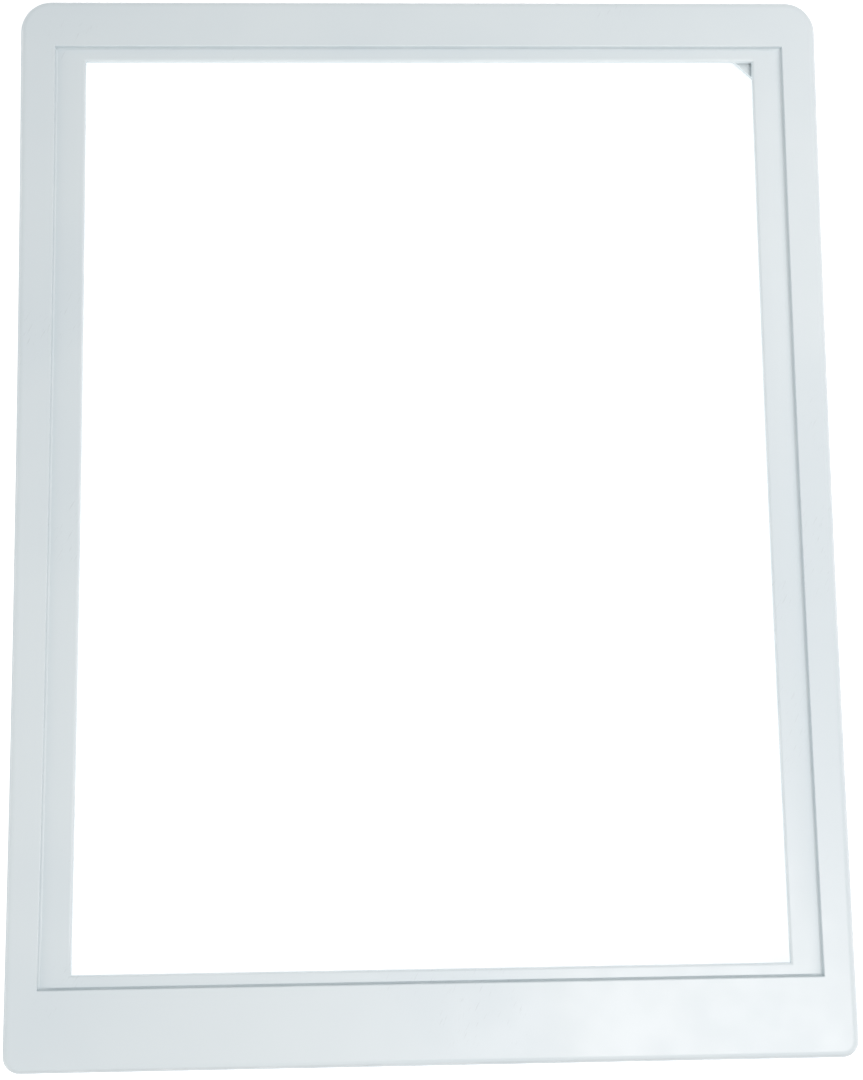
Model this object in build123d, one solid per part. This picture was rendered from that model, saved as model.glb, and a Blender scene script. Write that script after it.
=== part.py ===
from build123d import *
import os

# Crisper cover frame: one moulded plastic frame that carries a loose glass panel over a crisper drawer.
# Millimetres, +Z up, +Y to the rear. The origin is under the middle of the outline, on the bottom rim.

# Glass panel and the recess that holds it
glass_width = 307.0
glass_depth = 385.0
glass_clearance = 1.25
seat_step = 2.2

# Ledge under the edge of the glass
side_ledge = 12.5
rear_ledge = 5.7
front_ledge = 5.2

# Rails around the recess, measured at the bottom rim
side_rail_at_rear = 15.3
side_rail_at_front = 13.3
rear_rail = 20.9
front_rail = 31.8

# Heights above the bottom rim
frame_height = 19.0
inner_wall_gap = 7.0

# Walls
wall = 2.5
rib_wall = 1.6

# Rounds and mould draft
rear_corner_radius = 13.0
front_corner_radius = 6.8
edge_round = 3.2
step_round = 0.4
lip_round = 1.0
draft_angle = 1.0

# Shallow fall of the side ledges towards the recess wall, which keeps drips off the glass edge
drip_width = 6.0
drip_fall = 0.5

# Stiffening ribs across the hollow underside
side_rib_count = 3
end_rib_count = 3
rib_setback = 1.0

# Corner web below the ledge, at the rear right
web_along_rear = 23.5
web_along_side = 22.0
web_thickness = 2.0
web_drop = 3.0

# Sizes that follow from the ones above
seat_width = glass_width + 2 * glass_clearance
seat_depth = glass_depth + 2 * glass_clearance
frame_depth = front_rail + seat_depth + rear_rail
rear_width = seat_width + 2 * side_rail_at_rear
front_width = seat_width + 2 * side_rail_at_front
rear_y = frame_depth / 2
front_y = -frame_depth / 2
seat_rear_y = rear_y - rear_rail
seat_front_y = front_y + front_rail
seat_x = seat_width / 2
opening_x = seat_x - side_ledge
opening_rear_y = seat_rear_y - rear_ledge
opening_front_y = seat_front_y + front_ledge
seat_z = frame_height - seat_step
ledge_under_z = seat_z - wall


def block(x_low, x_high, y_low, y_high, z_low, z_high):
    """A box between two corners."""
    middle = ((x_low + x_high) / 2, (y_low + y_high) / 2, (z_low + z_high) / 2)
    return Pos(*middle) * Box(x_high - x_low, y_high - y_low, z_high - z_low)


def outline(inset):
    """The frame's plan at the rim, moved inwards: wider at the rear, with larger corners there."""
    plan = Polygon(
        (-front_width / 2, front_y),
        (front_width / 2, front_y),
        (rear_width / 2, rear_y),
        (-rear_width / 2, rear_y),
        align=None,
    )
    corners = plan.vertices().sort_by(Axis.Y)
    plan = fillet(corners[:2], front_corner_radius)
    rear_corners = plan.vertices().sort_by(Axis.Y)[-2:]
    plan = fillet(rear_corners, rear_corner_radius)
    return offset(plan, -inset) if inset else plan


def outer_block():
    """The outside of the moulding: a drafted skirt that rolls over into the flat top face."""
    solid = extrude(outline(0), frame_height, taper=draft_angle)
    top_edges = solid.faces().sort_by(Axis.Z)[-1].edges()
    return fillet(top_edges, edge_round)


def rib_blocks():
    """Evenly spaced ribs: across the side rails, and from front to rear across the end rails."""
    rib_low = inner_wall_gap + rib_setback
    half = rib_wall / 2
    side_pitch = seat_depth / (side_rib_count + 1)
    end_pitch = 2 * opening_x / (end_rib_count + 1)
    ribs = []
    for i in range(side_rib_count):
        y = seat_front_y + (i + 1) * side_pitch
        ribs.append(block(-rear_width, rear_width, y - half, y + half, rib_low, frame_height))
    for i in range(end_rib_count):
        x = -opening_x + (i + 1) * end_pitch
        ribs.append(block(x - half, x + half, front_y, rear_y, rib_low, frame_height))
    return ribs


def underside_hollow():
    """What the mould core leaves open below the rails: all of the inside but the walls and ribs."""
    core = extrude(outline(wall), frame_height - wall, taper=draft_angle)
    recess_tub = block(
        -seat_x - wall, seat_x + wall,
        seat_front_y - wall, seat_rear_y + wall,
        inner_wall_gap, frame_height,
    )
    return core - recess_tub - rib_blocks()


def glass_recess():
    """The recess for the glass, with the fall in the floor of both side ledges."""
    recess = block(
        -seat_x, seat_x,
        seat_front_y, seat_rear_y,
        seat_z, 2 * frame_height,
    )
    fall_profile = Polygon(
        (-seat_x, seat_z),
        (-seat_x, seat_z - drip_fall),
        (-seat_x + drip_width, seat_z),
        align=None,
    )
    left_fall = extrude(Plane.XZ.offset(-seat_rear_y) * fall_profile, seat_depth)
    return recess + left_fall + mirror(left_fall, Plane.YZ)


def central_opening():
    """The opening through the ledge, which widens to the inner wall below the ledge."""
    through = block(
        -opening_x, opening_x,
        opening_front_y, opening_rear_y,
        -frame_height, 2 * frame_height,
    )
    below_ledge = block(
        -seat_x, seat_x,
        seat_front_y, seat_rear_y,
        -frame_height, ledge_under_z,
    )
    return through + below_ledge


def corner_web():
    """The flat web that ties the right inner wall to the rear one, below the ledge."""
    overlap = wall / 2
    plan = Polygon(
        (seat_x + overlap, seat_rear_y + overlap),
        (seat_x + overlap, seat_rear_y - web_along_side),
        (seat_x, seat_rear_y - web_along_side),
        (seat_x - web_along_rear, seat_rear_y),
        (seat_x - web_along_rear, seat_rear_y + overlap),
        align=None,
    )
    web_low = ledge_under_z - web_drop - web_thickness
    return extrude(Pos(0, 0, web_low) * plan, web_thickness, dir=(0, 0, 1))


def inner_edges(solid, level):
    """The edges round the hole in the flat face at one height."""
    slack = 0.01
    face = solid.faces().filter_by(Axis.Z).filter_by_position(Axis.Z, level - slack, level + slack)[0]
    return face.inner_wires()[0].edges()


def cover_frame():
    """The whole moulding, with the recess edge and the lip of the ledge eased."""
    solid = outer_block() - underside_hollow() - glass_recess() - central_opening() + corner_web()
    solid = fillet(inner_edges(solid, frame_height), step_round)
    return fillet(inner_edges(solid, seat_z), lip_round)


os.makedirs("parts", exist_ok=True)
frame = cover_frame()
export_step(frame.solid(), "parts/cover_frame.step")
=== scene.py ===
"""Crisper cover frame: the moulded frame that carries the glass over a crisper drawer.

It models the frame as one piece, gives it its plastic and sets a studio stage round it. Metres, in the
part's own frame: +Z up, +Y to the rear, the origin under the middle of the outline.
"""
import math
from collections import namedtuple

import bmesh
import bpy
from mathutils import Matrix, Vector


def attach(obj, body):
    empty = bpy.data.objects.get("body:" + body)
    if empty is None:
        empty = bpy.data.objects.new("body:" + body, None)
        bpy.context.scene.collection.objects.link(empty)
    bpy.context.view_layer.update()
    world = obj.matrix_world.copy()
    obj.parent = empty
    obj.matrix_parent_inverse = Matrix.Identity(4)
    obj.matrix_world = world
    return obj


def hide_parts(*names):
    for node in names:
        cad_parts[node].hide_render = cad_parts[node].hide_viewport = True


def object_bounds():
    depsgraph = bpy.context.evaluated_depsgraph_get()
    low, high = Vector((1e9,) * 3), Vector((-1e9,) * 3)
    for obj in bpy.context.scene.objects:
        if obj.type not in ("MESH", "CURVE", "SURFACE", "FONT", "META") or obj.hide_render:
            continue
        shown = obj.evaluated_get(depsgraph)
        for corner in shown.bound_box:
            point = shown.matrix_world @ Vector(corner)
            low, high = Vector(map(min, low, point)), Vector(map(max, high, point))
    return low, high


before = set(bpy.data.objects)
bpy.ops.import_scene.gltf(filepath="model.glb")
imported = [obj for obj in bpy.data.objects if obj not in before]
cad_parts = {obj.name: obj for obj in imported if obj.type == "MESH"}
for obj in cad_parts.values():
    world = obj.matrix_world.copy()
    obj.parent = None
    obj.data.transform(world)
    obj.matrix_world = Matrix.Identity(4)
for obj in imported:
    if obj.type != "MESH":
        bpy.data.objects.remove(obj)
CAD_LOW, CAD_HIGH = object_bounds()

bl_info = {
    "name": "Crisper cover frame",
    "version": (1, 0, 0),
    "blender": (4, 5, 0),
    "location": "3D View > Sidebar > Cover Frame",
    "description": "Models a moulded crisper cover frame, its satin plastic finish and a studio stage",
    "category": "Object",
}

MM = 0.001
ORIGIN = (0.0, 0.0, 0.0)

# Places closer than NEAR are one place, and points closer than MERGE become one
NEAR = 0.02 * MM
MERGE = NEAR / 4

# Edges past this angle stay sharp
SHARP = math.radians(30)

# How far a face's normal points along Z where the face counts as level
LEVEL_FACE = 0.99

# Names of the piece and the CAD node that it stands for
PIECE = "cover_frame_moulding"
CAD_NODE = "cover_frame"

# A level rectangular loop of the moulding: its half width, its front and rear lines and its height
Ring = namedtuple("Ring", "half_width front rear level")


def length(name, description, millimetres):
    """A length setting, written in millimetres and kept in metres."""
    return bpy.props.FloatProperty(
        name=name,
        description=description,
        default=millimetres * MM,
        unit="LENGTH",
        subtype="DISTANCE",
    )


def colour(name, description, default):
    """A colour setting, in linear values."""
    return bpy.props.FloatVectorProperty(
        name=name,
        description=description,
        default=default,
        size=3,
        min=0.0,
        max=1.0,
        subtype="COLOR",
    )


def factor(name, description, default):
    """A setting from 0 to 1."""
    return bpy.props.FloatProperty(
        name=name, description=description, default=default, min=0.0, max=1.0, subtype="FACTOR"
    )


def number(name, description, default):
    """How many like features there are, at least one."""
    return bpy.props.IntProperty(name=name, description=description, default=default, min=1)


def wattage(name, description, watts):
    """The power of a light."""
    return bpy.props.FloatProperty(name=name, description=description, default=watts, unit="POWER")


class CoverFrameSizes(bpy.types.PropertyGroup):
    """Sizes of the moulding."""

    depth: length("Depth", "Front edge to rear edge at the rim", (CAD_HIGH.y - CAD_LOW.y) / MM)
    height: length("Height", "Bottom rim to top face", (CAD_HIGH.z - CAD_LOW.z) / MM)
    rear_width: length("Rear width", "Width across the rear corners at the bottom rim", 340.1)
    front_width: length("Front width", "Width across the front corners at the bottom rim", 336.1)
    rear_corner: length("Rear corners", "Radius of the rear corners in plan", 13.0)
    front_corner: length("Front corners", "Radius of the front corners in plan", 6.8)
    edge_round: length("Rolled edge", "Radius where the skirt rolls over into the top face", 3.2)
    wall: length("Wall", "Thickness of the skirt, the top and the ledge", 2.5)
    seat_width: length("Recess width", "Width of the recess for the glass", 309.5)
    front_rail: length("Front rail", "Front edge to the recess", 31.8)
    rear_rail: length("Rear rail", "Rear edge to the recess", 20.9)
    seat_step: length("Recess step", "Depth of the recess below the top face", 2.2)
    step_round: length("Step edge", "Radius along the top edge of the recess", 0.4)
    step_fillet: length("Step fillet", "Radius between the recess wall and the ledge", 0.85)
    side_ledge: length("Side ledge", "Width of the ledge at both sides", 12.5)
    rear_ledge: length("Rear ledge", "Width of the ledge at the rear", 5.7)
    front_ledge: length("Front ledge", "Width of the ledge at the front", 5.2)
    lip_round: length("Ledge lip", "Radius along the inner edge of the ledge", 1.0)
    drip_width: length("Drip fall width", "Part of a side ledge that falls to the recess wall", 6.0)
    drip_fall: length("Drip fall", "How far a side ledge falls towards the recess wall", 0.5)
    inner_wall_gap: length("Inner wall gap", "Height of the inner wall's bottom above the rim", 7.0)
    rim_break: length("Rim break", "Radius of the lower edges of skirt, inner wall and ledge", 0.4)
    rib_wall: length("Rib wall", "Thickness of the ribs under the rails", 1.6)
    rib_setback: length("Rib setback", "How far the ribs stand back from the inner wall's bottom", 1.0)
    web_along_rear: length("Web along the rear", "Leg of the corner web along the rear wall", 24.0)
    web_along_side: length("Web along the side", "Leg of the corner web along the right wall", 22.5)
    web_thickness: length("Web thickness", "Thickness of the corner web", 2.0)
    web_drop: length("Web drop", "How far the corner web lies below the top of the ledge", 3.7)
    side_bow: length("Side bow", "How far the long rails draw in at the middle after moulding", 1.2)
    draft: bpy.props.FloatProperty(
        name="Draft",
        description="Mould draft of the skirt",
        default=math.radians(1.0),
        unit="ROTATION",
        subtype="ANGLE",
    )
    side_ribs: number("Side ribs", "Ribs under each side rail", 3)
    end_ribs: number("End ribs", "Ribs under each end rail", 3)


class CoverFrameFinish(bpy.types.PropertyGroup):
    """Colours and surface of the moulded plastic."""

    body: colour("Plastic", "Main colour of the moulded plastic", (0.683, 0.757, 0.781))
    cloud: colour("Clouding", "Colour of faint cooler clouds in the plastic", (0.654, 0.732, 0.763))
    worn: colour("Worn edges", "Colour where the edges are rubbed", (0.720, 0.787, 0.808))
    # Colour of the painted shade in the recess creases and on the front edge, and of the real scuffs
    shade_and_scuffs: colour("Grime", "Colour of dirt, handling and scuffs", (0.300, 0.335, 0.350))
    speck: colour("Specks", "Colour of the few dark specks in the plastic", (0.330, 0.320, 0.300))
    roughness: factor("Roughness", "Roughness of the satin surface", 0.34)
    grain: factor("Grain", "Strength of the fine moulded grain", 0.22)
    peel: factor("Peel", "Strength of the shallow waves left by the mould", 0.12)


class CoverFrameStage(bpy.types.PropertyGroup):
    """Floor, light and camera."""

    floor: colour("Floor", "Colour of the plain floor", (0.93, 0.935, 0.94))
    floor_glow: factor("Floor glow", "Light that the lit floor gives by itself", 0.5)
    room: colour("Room light", "Colour of the even light of the studio", (1.0, 1.0, 1.0))
    room_strength: bpy.props.FloatProperty(
        name="Room strength", description="Strength of the even light of the studio", default=0.553
    )
    left_power: wattage("Left light", "Power of the wide panel at the left", 4.2)
    lamp: colour("Lamp colour", "Colour of the soft lights at the right", (1.0, 0.93, 0.92))
    key_power: wattage("Key light", "Power of the soft light at the right front", 7.35)
    side_power: wattage("Side light", "Power of the soft light at the right rear", 0.70)
    lens: bpy.props.FloatProperty(
        name="Lens", description="Focal length of the camera", default=51.93, unit="CAMERA"
    )


def pick(kind, wanted):
    """Select only the vertices, edges or faces of the edited piece that pass a test."""
    bpy.ops.mesh.select_mode(type=kind)
    bpy.ops.mesh.select_all(action="DESELECT")
    mesh = bmesh.from_edit_mesh(bpy.context.object.data)
    items = {"VERT": mesh.verts, "EDGE": mesh.edges, "FACE": mesh.faces}[kind]
    found = [item for item in items if wanted(item)]
    if not found:
        raise RuntimeError(f"no {kind.lower()} of {bpy.context.object.name} is where it should be")
    for item in found:
        item.select_set(True)
    mesh.select_flush_mode()
    bmesh.update_edit_mesh(bpy.context.object.data)


def at_level(edge, level):
    """True for an edge that lies at one height."""
    return all(abs(vert.co.z - level) < NEAR for vert in edge.verts)


def at_depth(edge, depth):
    """True for an edge that runs across the frame at one distance from the front."""
    return all(abs(vert.co.y - depth) < NEAR for vert in edge.verts)


def open_edge(edge, level):
    """True for an edge at one height that has a face on one side only, or none."""
    return len(edge.link_faces) < 2 and at_level(edge, level)


def corner_edge(edge, level):
    """True for an edge at one height where two faces meet at an angle."""
    return at_level(edge, level) and edge.calc_face_angle(0.0) > SHARP


def on_opening(edge, place):
    """True for an edge along the outline of the opening."""
    middle = (edge.verts[0].co + edge.verts[1].co) / 2
    in_width = abs(middle.x) < place.open_half + NEAR
    return in_width and place.open_front - NEAR < middle.y < place.open_rear + NEAR


def level_face(face, level):
    """True for a face that looks up at one height."""
    return face.normal.z > LEVEL_FACE and abs(face.calc_center_median().z - level) < NEAR


def extrude(move):
    """Extrude what is selected."""
    bpy.ops.mesh.extrude_region_move(TRANSFORM_OT_translate={"value": move})


def extrude_ring(ring, target):
    """Extrude the selected loop and carry its four sides from one ring to the next."""
    middle = (target.front + target.rear) / 2
    extrude((0.0, middle - (ring.front + ring.rear) / 2, target.level - ring.level))
    wider = target.half_width / ring.half_width
    longer = (target.rear - target.front) / (ring.rear - ring.front)
    bpy.ops.transform.resize(value=(wider, longer, 1.0), center_override=(0.0, middle, target.level))
    return target


def round_off(what, radius, steps):
    """Round the selected edges, or the selected corners of a flat sheet."""
    bpy.ops.mesh.bevel(
        offset_type="OFFSET", offset=radius, segments=steps, affect=what, clamp_overlap=False
    )


class Layout:
    """Places that follow from the sizes."""

    def __init__(self, sizes):
        self.front = -sizes.depth / 2
        self.rear = sizes.depth / 2
        self.seat_half = sizes.seat_width / 2
        self.seat_front = self.front + sizes.front_rail
        self.seat_rear = self.rear - sizes.rear_rail
        self.seat_middle = (self.seat_front + self.seat_rear) / 2
        self.open_half = self.seat_half - sizes.side_ledge
        self.open_front = self.seat_front + sizes.front_ledge
        self.open_rear = self.seat_rear - sizes.rear_ledge
        self.top = sizes.height
        self.top_under = sizes.height - sizes.wall
        self.ledge = sizes.height - sizes.seat_step
        self.ledge_under = self.ledge - sizes.wall
        self.inner_low = sizes.inner_wall_gap

    def seat(self, out, level):
        """The recess outline, moved outwards."""
        return Ring(self.seat_half + out, self.seat_front - out, self.seat_rear + out, level)

    def opening(self, out, level):
        """The outline of the opening, moved outwards."""
        return Ring(self.open_half + out, self.open_front - out, self.open_rear + out, level)


# Stations along the rails for their bow
STATIONS = 16

# Segments of the corners in plan, the rolled edge, the small rounds and the broken edges
CORNER_STEPS = 16
ROUND_STEPS = 10
SMALL_STEPS = 4
BREAK_STEPS = 2

# Turns through a small quarter round
QUARTER = [math.radians(90 * step / SMALL_STEPS) for step in range(1, SMALL_STEPS + 1)]

# How deep in the skirt the ribs of the side rails end, as a share of its wall
SKIRT_MARGIN = 0.2


def model_skirt(sizes, place):
    """The rim, both faces of the skirt and the rolled edge, from a sheet with the frame's plan."""
    bpy.ops.mesh.primitive_plane_add(size=1.0)
    piece = bpy.context.object
    piece.name = piece.data.name = PIECE
    bpy.ops.object.mode_set(mode="EDIT")
    bpy.ops.transform.resize(value=(sizes.rear_width, sizes.depth, 1.0), center_override=ORIGIN)
    pick("VERT", lambda vert: vert.co.y < 0.0)
    narrowing = sizes.front_width / sizes.rear_width
    bpy.ops.transform.resize(value=(narrowing, 1.0, 1.0), center_override=(0.0, place.front, 0.0))
    pick("VERT", lambda vert: vert.co.y > 0.0)
    round_off("VERTICES", sizes.rear_corner, CORNER_STEPS)
    pick("VERT", lambda vert: vert.co.y < place.front + NEAR)
    round_off("VERTICES", sizes.front_corner, CORNER_STEPS)

    # The rim and the inside of the skirt
    bpy.ops.mesh.select_mode(type="FACE")
    bpy.ops.mesh.select_all(action="SELECT")
    bpy.ops.mesh.inset(thickness=sizes.wall, depth=0.0)
    bpy.ops.mesh.inset(thickness=place.top_under * math.tan(sizes.draft), depth=place.top_under)
    bpy.ops.mesh.delete(type="ONLY_FACE")

    # The outside of the skirt, closed by a top face for the rolled edge
    pick("EDGE", lambda edge: open_edge(edge, 0.0))
    extrude((0.0, 0.0, sizes.height))
    lean = 2 * sizes.height * math.tan(sizes.draft)
    mean_width = (sizes.rear_width + sizes.front_width) / 2
    shrink = (1.0 - lean / mean_width, 1.0 - lean / sizes.depth, 1.0)
    bpy.ops.transform.resize(value=shrink, center_override=(0.0, 0.0, place.top))
    bpy.ops.mesh.edge_face_add()
    pick("EDGE", lambda edge: at_level(edge, place.top))
    round_off("EDGES", sizes.edge_round, ROUND_STEPS)
    pick("FACE", lambda face: len(face.verts) > 2 * CORNER_STEPS)
    bpy.ops.mesh.delete(type="ONLY_FACE")


def roll_over(ring, outline, radius, level):
    """Carry the loop over a quarter round that starts at one height."""
    for turn in QUARTER:
        out = radius * (1 - math.sin(turn))
        ring = extrude_ring(ring, outline(out, level - radius * (1 - math.cos(turn))))
    return ring


def model_recess(sizes, place):
    """The recess, the ledge with its rounded lip, and both faces of the inner wall under it."""
    ring = place.seat(sizes.step_round, place.top)
    bpy.ops.mesh.primitive_plane_add(size=1.0, location=(0.0, place.seat_middle, place.top))
    scale = (2 * ring.half_width, ring.rear - ring.front, 1.0)
    bpy.ops.transform.resize(value=scale, center_override=(0.0, place.seat_middle, place.top))
    bpy.ops.mesh.delete(type="ONLY_FACE")
    pick("EDGE", lambda edge: not edge.link_faces)

    # Down the recess wall, through its fillet, across the ledge and over its lip
    fillet = sizes.step_fillet
    ring = roll_over(ring, place.seat, sizes.step_round, place.top)
    ring = extrude_ring(ring, place.seat(0.0, place.ledge + fillet))
    for turn in QUARTER:
        inwards = fillet * (1 - math.cos(turn))
        ring = extrude_ring(ring, place.seat(-inwards, place.ledge + fillet * (1 - math.sin(turn))))
    ring = extrude_ring(ring, place.opening(sizes.lip_round, place.ledge))
    ring = roll_over(ring, place.opening, sizes.lip_round, place.ledge)
    ring = extrude_ring(ring, place.opening(0.0, place.ledge_under))

    # Back under the ledge, down the inner wall, round its bottom and up behind it
    ring = extrude_ring(ring, place.seat(0.0, place.ledge_under))
    ring = extrude_ring(ring, place.seat(0.0, place.inner_low))
    ring = extrude_ring(ring, place.seat(sizes.wall, place.inner_low))
    extrude_ring(ring, place.seat(sizes.wall, place.top_under))


def close_faces(place):
    """Fill the top face and the underside of the top, which are flat and have the recess as a hole."""
    for level in (place.top, place.top_under):
        pick("EDGE", lambda edge: open_edge(edge, level))
        bpy.ops.mesh.fill(use_beauty=True)
        bpy.ops.mesh.tris_convert_to_quads()
    bpy.ops.mesh.select_all(action="SELECT")
    bpy.ops.mesh.remove_doubles(threshold=MERGE)
    bpy.ops.mesh.normals_make_consistent(inside=False)


def shape_details(sizes, place):
    """The fall of the side ledges towards the recess wall, and the broken lower edges."""
    fall_from = place.seat_half - sizes.drip_width
    for side in (-1.0, 1.0):
        pick("FACE", lambda face: level_face(face, place.ledge))
        bpy.ops.mesh.bisect(plane_co=(side * fall_from, 0.0, 0.0), plane_no=(1.0, 0.0, 0.0))
    low, high = place.ledge - NEAR, place.ledge + sizes.step_fillet + NEAR
    edge_of_fall = place.seat_half - 2 * sizes.step_fillet
    pick("VERT", lambda vert: low < vert.co.z < high and abs(vert.co.x) > edge_of_fall)
    bpy.ops.transform.translate(value=(0.0, 0.0, -sizes.drip_fall))
    for level in (0.0, place.inner_low):
        pick("EDGE", lambda edge: corner_edge(edge, level))
        round_off("EDGES", sizes.rim_break, BREAK_STEPS)
    pick("EDGE", lambda edge: corner_edge(edge, place.ledge_under) and on_opening(edge, place))
    round_off("EDGES", sizes.rim_break, BREAK_STEPS)


def cut_stations(place):
    """Cut the rails across at even stations, for the bow along their length."""
    for step in range(1, STATIONS):
        bpy.ops.mesh.select_all(action="SELECT")
        station = place.front + (place.rear - place.front) * step / STATIONS
        bpy.ops.mesh.bisect(plane_co=(0.0, station, 0.0), plane_no=(0.0, 1.0, 0.0))


class COVERFRAME_OT_shell(bpy.types.Operator):
    """Model the moulded shell: skirt, top face, recess, ledge and inner wall"""

    bl_idname = "cover_frame.shell"
    bl_label = "Moulded shell"

    def execute(self, context):
        sizes = context.scene.cover_frame_sizes
        place = Layout(sizes)
        bpy.ops.object.select_all(action="DESELECT")
        model_skirt(sizes, place)
        model_recess(sizes, place)
        close_faces(place)
        shape_details(sizes, place)
        cut_stations(place)
        bpy.ops.object.mode_set(mode="OBJECT")
        return {"FINISHED"}


def add_block(low, high):
    """A block between two corners, left in edit mode."""
    bpy.ops.object.select_all(action="DESELECT")
    low, high = Vector(low), Vector(high)
    middle = (low + high) / 2
    bpy.ops.mesh.primitive_cube_add(size=1.0)
    bpy.ops.object.mode_set(mode="EDIT")
    bpy.ops.transform.resize(value=high - low, center_override=ORIGIN)
    bpy.ops.transform.translate(value=middle)
    return bpy.context.object


def add_rib(sizes, low, high, across):
    """One rib, with draft: it thins towards its lower edge."""
    rib = add_block(low, high)
    pick("FACE", lambda face: face.normal.z < -LEVEL_FACE)
    thin = (sizes.rib_wall - 2 * sizes.rim_break) / sizes.rib_wall
    middle = (Vector(low) + Vector(high)) / 2
    scale = (1.0, thin, 1.0) if across else (thin, 1.0, 1.0)
    bpy.ops.transform.resize(value=scale, center_override=middle)
    bpy.ops.object.mode_set(mode="OBJECT")
    return rib


def repeat(rib, step, count):
    """Copies of a rib at even steps, each with a mesh of its own."""
    bpy.ops.object.select_all(action="DESELECT")
    rib.select_set(True)
    made = [rib]
    for _ in range(count - 1):
        bpy.ops.object.duplicate(linked=False)
        bpy.ops.transform.translate(value=step)
        made.append(bpy.context.object)
    return made


def outwards(piece):
    """The active piece, with its faces turned outwards."""
    bpy.ops.object.mode_set(mode="EDIT")
    bpy.ops.mesh.select_all(action="SELECT")
    bpy.ops.mesh.normals_make_consistent(inside=False)
    bpy.ops.object.mode_set(mode="OBJECT")
    return piece


def join(pieces, name):
    """One object from several, with its place in its mesh and its faces outwards."""
    bpy.ops.object.select_all(action="DESELECT")
    for piece in pieces:
        piece.select_set(True)
    bpy.context.view_layer.objects.active = pieces[0]
    bpy.ops.object.transform_apply(location=True, rotation=True, scale=True)
    bpy.ops.object.join()
    bpy.context.object.name = name
    return outwards(bpy.context.object)


def unite(piece, added):
    """Weld an added solid into the moulding."""
    bpy.ops.object.select_all(action="DESELECT")
    piece.select_set(True)
    bpy.context.view_layer.objects.active = piece
    bpy.ops.object.modifier_add(type="BOOLEAN")
    weld = piece.modifiers[-1]
    weld.operation = "UNION"
    weld.solver = "EXACT"
    weld.object = added
    bpy.ops.object.modifier_apply(modifier=weld.name)
    bpy.data.objects.remove(added, do_unlink=True)


class COVERFRAME_OT_ribs(bpy.types.Operator):
    """Model the ribs under the rails and weld them into the shell"""

    bl_idname = "cover_frame.ribs"
    bl_label = "Underside ribs"

    def execute(self, context):
        sizes = context.scene.cover_frame_sizes
        place = Layout(sizes)
        half = sizes.rib_wall / 2
        into_wall = sizes.wall / 2
        low = place.inner_low + sizes.rib_setback
        high = place.top - into_wall
        ribs = []

        # Across the right rail, then the left one
        pitch = (place.seat_rear - place.seat_front) / (sizes.side_ribs + 1)
        station = place.seat_front + pitch
        skirt = min(sizes.front_width, sizes.rear_width) / 2 - SKIRT_MARGIN * sizes.wall
        inner = place.seat_half + into_wall
        for left, right in ((inner, skirt), (-skirt, -inner)):
            first = add_rib(sizes, (left, station - half, low), (right, station + half, high), True)
            ribs += repeat(first, (0.0, pitch, 0.0), sizes.side_ribs)

        # Across the front rail, then the rear one
        pitch = 2 * place.open_half / (sizes.end_ribs + 1)
        station = pitch - place.open_half
        front_rail = (place.front + into_wall, place.seat_front - into_wall)
        rear_rail = (place.seat_rear + into_wall, place.rear - into_wall)
        for front, rear in (front_rail, rear_rail):
            first = add_rib(sizes, (station - half, front, low), (station + half, rear, high), False)
            ribs += repeat(first, (pitch, 0.0, 0.0), sizes.end_ribs)
        unite(bpy.data.objects[PIECE], join(ribs, "ribs"))
        return {"FINISHED"}


class COVERFRAME_OT_web(bpy.types.Operator):
    """Model the flat corner web at the rear right of the opening and weld it into the shell"""

    bl_idname = "cover_frame.web"
    bl_label = "Corner web"

    def execute(self, context):
        sizes = context.scene.cover_frame_sizes
        place = Layout(sizes)
        overlap = sizes.wall / 2
        bpy.ops.object.select_all(action="DESELECT")
        bpy.ops.mesh.primitive_plane_add(size=1.0)
        bpy.ops.object.mode_set(mode="EDIT")
        legs = Vector((sizes.web_along_rear, sizes.web_along_side, 1.0))
        level = place.ledge - sizes.web_drop - sizes.web_thickness
        corner = Vector((place.seat_half, place.seat_rear, level))
        bpy.ops.transform.resize(value=legs, center_override=ORIGIN)
        bpy.ops.transform.translate(value=(corner.x - legs.x / 2, corner.y - legs.y / 2, corner.z))
        free = corner - Vector((legs.x, legs.y, 0.0))
        pick("VERT", lambda vert: (vert.co - free).length < NEAR)
        bpy.ops.mesh.delete(type="VERT")
        bpy.ops.mesh.select_all(action="SELECT")
        bpy.ops.mesh.edge_face_add()
        pick("EDGE", lambda edge: at_depth(edge, corner.y))
        extrude((0.0, overlap, 0.0))
        pick("EDGE", lambda edge: all(vert.co.x > corner.x - NEAR for vert in edge.verts))
        extrude((overlap, 0.0, 0.0))
        bpy.ops.mesh.select_mode(type="FACE")
        bpy.ops.mesh.select_all(action="SELECT")
        extrude((0.0, 0.0, sizes.web_thickness))
        bpy.ops.object.mode_set(mode="OBJECT")
        unite(bpy.data.objects[PIECE], outwards(context.object))
        return {"FINISHED"}


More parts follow.
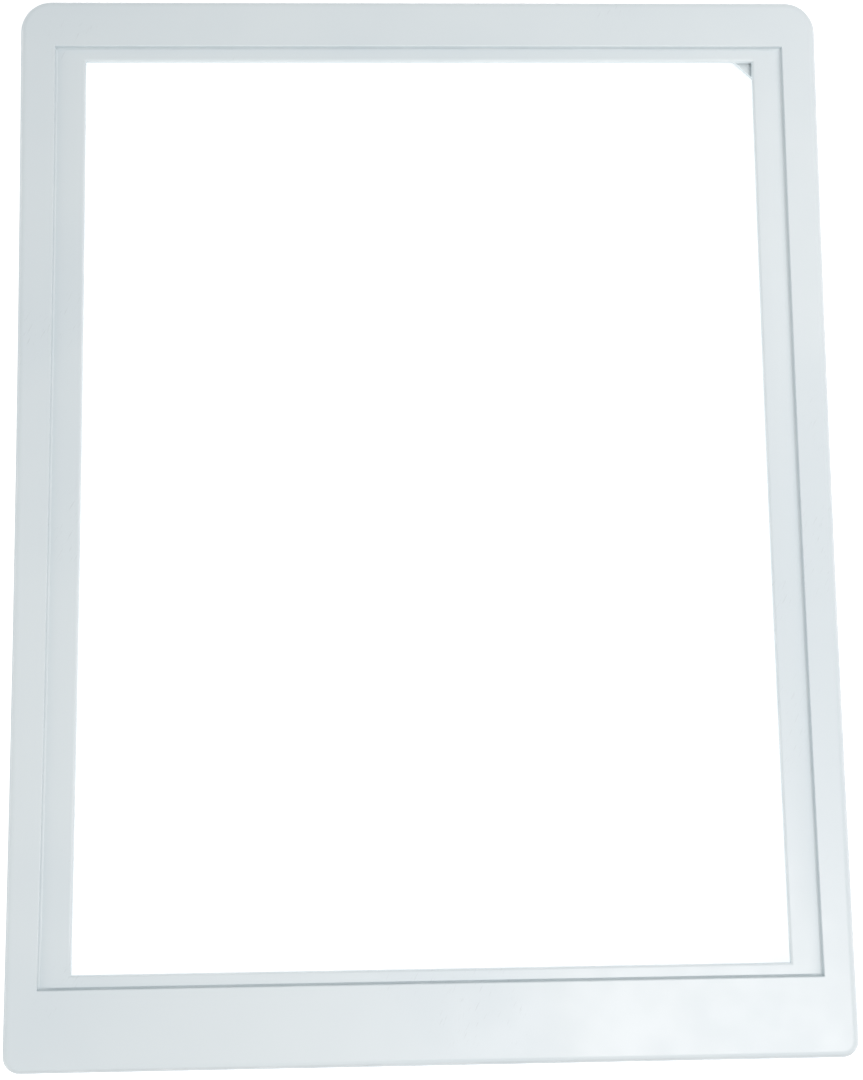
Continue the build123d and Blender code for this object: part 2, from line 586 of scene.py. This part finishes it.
class COVERFRAME_OT_settle(bpy.types.Operator):
    """Draw in the long rails as they set, smooth the faces and put the piece in the part's place"""

    bl_idname = "cover_frame.settle"
    bl_label = "Set after moulding"

    def execute(self, context):
        sizes = context.scene.cover_frame_sizes
        piece = bpy.data.objects[PIECE]
        middle = (CAD_LOW + CAD_HIGH) / 2
        bpy.ops.object.select_all(action="DESELECT")
        bpy.ops.object.add(type="LATTICE", location=middle)
        cage = context.object
        cage.scale = CAD_HIGH - CAD_LOW
        cage.data.points_u, cage.data.points_v, cage.data.points_w = 2, STATIONS + 1, 2
        cage.data.interpolation_type_u = "KEY_LINEAR"
        cage.data.interpolation_type_v = "KEY_LINEAR"
        drawn_in = sizes.side_bow / cage.scale.x
        for point in cage.data.points:
            along = 2 * point.co.y
            point.co_deform.x -= math.copysign(drawn_in * (1 - along * along), point.co.x)
        bpy.ops.object.select_all(action="DESELECT")
        piece.select_set(True)
        context.view_layer.objects.active = piece
        bpy.ops.object.modifier_add(type="LATTICE")
        piece.modifiers[-1].object = cage
        bpy.ops.object.modifier_apply(modifier=piece.modifiers[-1].name)
        bpy.data.objects.remove(cage, do_unlink=True)
        bpy.ops.object.shade_smooth_by_angle(angle=SHARP)
        bpy.ops.object.modifier_add(type="WEIGHTED_NORMAL")
        piece.modifiers[-1].keep_sharp = True
        bpy.ops.object.modifier_apply(modifier=piece.modifiers[-1].name)
        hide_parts(CAD_NODE)
        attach(piece, "root")
        return {"FINISHED"}


# Sockets of a Mix node that hold its two colours and its result
MIX_UNDER, MIX_OVER, MIX_RESULT = 6, 7, 2

# How much finer waves add to every noise
NOISE_ROUGHNESS = 0.55

# A noise pattern in the plastic: waves per metre, octaves and the range of the noise that is used
Pattern = namedtuple("Pattern", "scale detail low high")
CLOUDS = Pattern(9.0, 3.0, 0.35, 0.65)
RUBBING = Pattern(55.0, 4.0, 0.42, 0.66)
# Breaks up the painted shade in the recess creases
CREASE_SHADE_NOISE = Pattern(140.0, 3.0, 0.25, 0.75)
# Breaks up the painted shade on the front rolled edge
FRONT_SHADE_NOISE = Pattern(26.0, 3.0, 0.3, 0.7)
STREAKS = Pattern(170.0, 2.0, 0.62, 0.72)
SCUFF_PATCHES = Pattern(19.0, 1.0, 0.58, 0.68)
SATIN = Pattern(70.0, 3.0, 0.3, 0.7)

# Waves per metre and octaves of the raised patterns, and their heights
PEEL_WAVES = (160.0, 1.0)
GRAIN_WAVES = (2400.0, 2.0)
PEEL_HEIGHT = 0.06 * MM
GRAIN_HEIGHT = 0.025 * MM

# Where an edge counts as rounded: the product of how far it faces up and how far it doesn't
ROUNDED = (0.06, 0.20)

# Painted crease shade: how near walls have to be, the rays that feel for them, how open unshaded and
# shaded places are, and how much it darkens
CREASE_SHADE_REACH = 1.2 * MM
CREASE_SHADE_RAYS = 8
UNSHADED, SHADED = 0.80, 0.45
CREASE_SHADE_AMOUNT = 0.08

# Painted shade on the front rolled edge: where it starts and is full, from the front edge, and how much
# it darkens
FRONT_SHADE_FROM = 3.6 * MM
FRONT_SHADE_FULL = 2.2 * MM
FRONT_SHADE_AMOUNT = (0.18, 0.36)

# Scuffs: their slant, their width against their length and how much they colour
SCUFF_TURN = 1.1
SCUFF_WIDTH = 0.11
SCUFF_AMOUNT = 0.15

# Specks: cells per metre, the share of cells without one, and their rim and core as shares of a cell
SPECK_CELLS = 42.0
SPECK_FREE = 0.86
SPECK_RIM, SPECK_CORE = 0.016, 0.009

# Changes of roughness: over the satin surface, on rubbed edges, and where the painted crease shade and
# the scuffs are
ROUGHNESS_SPREAD = 0.03
RUBBED_ROUGHNESS = -0.03
MARKED_ROUGHNESS = 0.25
PLASTIC_IOR = 1.5


class NodeBoard:
    """The node tree of one material, built node by node."""

    def __init__(self, material):
        material.use_nodes = True
        self.nodes = material.node_tree.nodes
        self.links = material.node_tree.links

    def add(self, kind, inputs=(), **settings):
        """A node with its settings; an input is a value or the output that feeds it."""
        node = self.nodes.new(kind)
        for name, value in settings.items():
            setattr(node, name, value)
        for name, value in dict(inputs).items():
            if isinstance(value, bpy.types.NodeSocket):
                self.links.new(value, node.inputs[name])
            else:
                node.inputs[name].default_value = value
        return node

    def sum_up(self, operation, first, second=0.0, third=0.0):
        """The result of one sum; each part is a number or an output."""
        inputs = {0: first, 1: second, 2: third}
        return self.add("ShaderNodeMath", inputs, operation=operation).outputs[0]

    def between(self, value, low, high, to_low=0.0, to_high=1.0):
        """A value carried smoothly from one range to another, and held at the ends."""
        inputs = {"Value": value, "From Min": low, "From Max": high, "To Min": to_low, "To Max": to_high}
        node = self.add("ShaderNodeMapRange", inputs, interpolation_type="SMOOTHSTEP")
        return node.outputs["Result"]

    def noise(self, place, scale, detail):
        """Even noise, with its scale in waves per metre."""
        inputs = {"Vector": place, "Scale": scale, "Detail": detail, "Roughness": NOISE_ROUGHNESS}
        return self.add("ShaderNodeTexNoise", inputs).outputs["Fac"]

    def pattern(self, place, chosen, to_low=0.0, to_high=1.0):
        """The used range of a noise pattern, carried to another range."""
        value = self.noise(place, chosen.scale, chosen.detail)
        return self.between(value, chosen.low, chosen.high, to_low, to_high)

    def tint(self, amount, under, over):
        """One colour laid over another."""
        node = self.add("ShaderNodeMix", {"Factor": amount}, data_type="RGBA")
        for socket, value in ((node.inputs[MIX_UNDER], under), (node.inputs[MIX_OVER], over)):
            if isinstance(value, bpy.types.NodeSocket):
                self.links.new(value, socket)
            else:
                socket.default_value = (*value, 1.0)
        return node.outputs[MIX_RESULT]

    def bump(self, height, strength, distance, under=None):
        """A raised pattern, on top of another where one is given."""
        inputs = {"Height": height, "Strength": strength, "Distance": distance}
        if under is not None:
            inputs["Normal"] = under
        return self.add("ShaderNodeBump", inputs).outputs["Normal"]


def satin_plastic(finish):
    """White moulded plastic with faint clouds, grain, worn edges, scuffs and specks, and painted shade in
    the recess creases and on the front edge.
    """
    material = bpy.data.materials.new("satin_white_plastic")
    board = NodeBoard(material)
    shader = board.nodes["Principled BSDF"]
    texture = board.add("ShaderNodeTexCoord")
    place = texture.outputs["Object"]
    facing = board.add("ShaderNodeSeparateXYZ", {"Vector": texture.outputs["Normal"]}).outputs["Z"]

    # Rounded edges face neither up nor sideways, and are rubbed here and there
    turned = board.sum_up("MULTIPLY", facing, board.sum_up("SUBTRACT", 1.0, facing))
    rounded = board.between(turned, *ROUNDED)
    rubbed = board.sum_up("MULTIPLY", rounded, board.pattern(place, RUBBING))

    # Painted shade darkens the crease where the recess wall meets the ledge, made patchy by noise
    reach = {"Distance": CREASE_SHADE_REACH}
    corner = board.add("ShaderNodeAmbientOcclusion", reach, samples=CREASE_SHADE_RAYS, only_local=True)
    hidden = board.between(corner.outputs["AO"], UNSHADED, SHADED)
    crease_shade = board.sum_up("MULTIPLY", hidden, board.pattern(place, CREASE_SHADE_NOISE, 0.0, CREASE_SHADE_AMOUNT))

    # Painted shade: the front rolled edge is darker, as if less light reached it from the front
    depth = board.add("ShaderNodeSeparateXYZ", {"Vector": place}).outputs["Y"]
    front = board.between(depth, CAD_LOW.y + FRONT_SHADE_FROM, CAD_LOW.y + FRONT_SHADE_FULL)
    front_edge = board.sum_up("MULTIPLY", rounded, front)
    front_edge_shade = board.sum_up("MULTIPLY", front_edge, board.pattern(place, FRONT_SHADE_NOISE, *FRONT_SHADE_AMOUNT))

    # Faint short scuffs, in patches
    slant = {"Vector": place, "Rotation": (0.0, 0.0, SCUFF_TURN), "Scale": (1.0, SCUFF_WIDTH, 1.0)}
    along = board.add("ShaderNodeMapping", slant, vector_type="TEXTURE").outputs["Vector"]
    patch = board.pattern(place, SCUFF_PATCHES, 0.0, SCUFF_AMOUNT)
    scuff = board.sum_up("MULTIPLY", board.pattern(along, STREAKS), patch)

    # A few specks, in some of the cells only
    cells = board.add("ShaderNodeTexVoronoi", {"Vector": place, "Scale": SPECK_CELLS})
    chance = board.add("ShaderNodeSeparateColor", {"Color": cells.outputs["Color"]}).outputs["Red"]
    dot = board.between(cells.outputs["Distance"], SPECK_RIM, SPECK_CORE)
    speck = board.sum_up("MULTIPLY", dot, board.sum_up("GREATER_THAN", chance, SPECK_FREE))

    tone = board.tint(board.pattern(place, CLOUDS), finish.body, finish.cloud)
    tone = board.tint(rubbed, tone, finish.worn)
    # Painted shade: darker in the recess creases and on the front rolled edge
    tone = board.tint(board.sum_up("MAXIMUM", crease_shade, front_edge_shade), tone, finish.shade_and_scuffs)
    tone = board.tint(scuff, tone, finish.shade_and_scuffs)
    tone = board.tint(speck, tone, finish.speck)
    board.links.new(tone, shader.inputs["Base Color"])

    smooth, rough = finish.roughness - ROUGHNESS_SPREAD, finish.roughness + ROUGHNESS_SPREAD
    roughness = board.pattern(place, SATIN, smooth, rough)
    roughness = board.sum_up("MULTIPLY_ADD", rubbed, RUBBED_ROUGHNESS, roughness)
    marked = board.sum_up("ADD", crease_shade, scuff)
    roughness = board.sum_up("MULTIPLY_ADD", marked, MARKED_ROUGHNESS, roughness)
    board.links.new(roughness, shader.inputs["Roughness"])

    waves = board.bump(board.noise(place, *PEEL_WAVES), finish.peel, PEEL_HEIGHT)
    grain = board.bump(board.noise(place, *GRAIN_WAVES), finish.grain, GRAIN_HEIGHT, waves)
    board.links.new(grain, shader.inputs["Normal"])
    shader.inputs["IOR"].default_value = PLASTIC_IOR
    return material


class COVERFRAME_OT_plastic(bpy.types.Operator):
    """Give the moulding its satin white plastic"""

    bl_idname = "cover_frame.plastic"
    bl_label = "Satin plastic"

    def execute(self, context):
        piece = bpy.data.objects[PIECE]
        piece.data.materials.clear()
        piece.data.materials.append(satin_plastic(context.scene.cover_frame_finish))
        return {"FINISHED"}


# Camera over the front of the frame, with its sensor in millimetres
CAMERA_PLACE = Vector((-19.2, -97.9, 647.0)) * MM
CAMERA_LOOK = Vector((0.0326, 0.1342, -0.9904))
CAMERA_UP = Vector((0.0094, 0.9909, 0.1346))
CAMERA_SENSOR = 36.0
CAMERA_NEAREST = 10 * MM

# Light panels: place and width
LEFT_PLACE, LEFT_SIZE = Vector((-1.70, -0.30, 1.30)), 1.4
KEY_PLACE, KEY_SIZE = Vector((0.346, -0.49, 1.20)), 0.55
SIDE_PLACE, SIDE_SIZE = Vector((0.42, 0.28, 0.50)), 0.4

FLOOR_SIZE = 20.0
FLOOR_ROUGHNESS = 0.9
FLOOR_LIGHT = (1.0, 1.0, 1.0, 1.0)


def add_panel(name, place, size, power, tint):
    """A square light panel turned to the middle of the floor."""
    bpy.ops.object.light_add(type="AREA", location=place)
    panel = bpy.context.object
    panel.name = panel.data.name = name
    panel.data.size = size
    panel.data.energy = power
    panel.data.color = tint
    panel.visible_camera = False
    panel.rotation_euler = place.to_track_quat("Z", "Y").to_euler()


class COVERFRAME_OT_stage(bpy.types.Operator):
    """Set the plain floor, the soft studio light and the camera"""

    bl_idname = "cover_frame.stage"
    bl_label = "Studio stage"

    def execute(self, context):
        stage = context.scene.cover_frame_stage
        bpy.ops.object.select_all(action="DESELECT")
        bpy.ops.mesh.primitive_plane_add(size=FLOOR_SIZE)
        floor = context.object
        floor.name = "floor"
        paint = bpy.data.materials.new("pale_floor")
        shader = NodeBoard(paint).nodes["Principled BSDF"]
        shader.inputs["Base Color"].default_value = (*stage.floor, 1.0)
        shader.inputs["Roughness"].default_value = FLOOR_ROUGHNESS
        shader.inputs["Emission Color"].default_value = FLOOR_LIGHT
        shader.inputs["Emission Strength"].default_value = stage.floor_glow
        floor.data.materials.append(paint)

        world = bpy.data.worlds.new("studio")
        world.use_nodes = True
        light = world.node_tree.nodes["Background"]
        light.inputs["Color"].default_value = (*stage.room, 1.0)
        light.inputs["Strength"].default_value = stage.room_strength
        context.scene.world = world
        add_panel("left_light", LEFT_PLACE, LEFT_SIZE, stage.left_power, stage.room)
        add_panel("key_light", KEY_PLACE, KEY_SIZE, stage.key_power, stage.lamp)
        add_panel("side_light", SIDE_PLACE, SIDE_SIZE, stage.side_power, stage.lamp)

        bpy.ops.object.camera_add(location=CAMERA_PLACE)
        camera = context.object
        look = CAMERA_LOOK.normalized()
        right = look.cross(CAMERA_UP).normalized()
        up = right.cross(look)
        camera.rotation_euler = Matrix((right, up, -look)).transposed().to_euler()
        camera.data.sensor_fit = "AUTO"
        camera.data.sensor_width = CAMERA_SENSOR
        camera.data.lens = stage.lens
        camera.data.clip_start = CAMERA_NEAREST
        camera.data.dof.use_dof = False
        context.scene.camera = camera
        context.scene.view_settings.view_transform = "Standard"
        return {"FINISHED"}


class COVERFRAME_PT_panel(bpy.types.Panel):
    """The steps that model the frame and set its stage"""

    bl_idname = "COVERFRAME_PT_panel"
    bl_label = "Crisper Cover Frame"
    bl_space_type = "VIEW_3D"
    bl_region_type = "UI"
    bl_category = "Cover Frame"

    def draw(self, context):
        for step in STEPS:
            self.layout.operator(step.bl_idname)


STEPS = (
    COVERFRAME_OT_shell,
    COVERFRAME_OT_ribs,
    COVERFRAME_OT_web,
    COVERFRAME_OT_settle,
    COVERFRAME_OT_plastic,
    COVERFRAME_OT_stage,
)
SETTINGS = {
    "cover_frame_sizes": CoverFrameSizes,
    "cover_frame_finish": CoverFrameFinish,
    "cover_frame_stage": CoverFrameStage,
}
CLASSES = (*SETTINGS.values(), *STEPS, COVERFRAME_PT_panel)


def register():
    """Add the settings, the steps and the panel to Blender."""
    for item in CLASSES:
        bpy.utils.register_class(item)
    for name, group in SETTINGS.items():
        setattr(bpy.types.Scene, name, bpy.props.PointerProperty(type=group))


def unregister():
    """Take the settings, the steps and the panel out of Blender."""
    for name in SETTINGS:
        delattr(bpy.types.Scene, name)
    for item in reversed(CLASSES):
        bpy.utils.unregister_class(item)


def main():
    """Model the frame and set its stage."""
    register()
    bpy.ops.cover_frame.shell()
    bpy.ops.cover_frame.ribs()
    bpy.ops.cover_frame.web()
    bpy.ops.cover_frame.settle()
    bpy.ops.cover_frame.plastic()
    bpy.ops.cover_frame.stage()


if __name__ == "__main__":
    main()
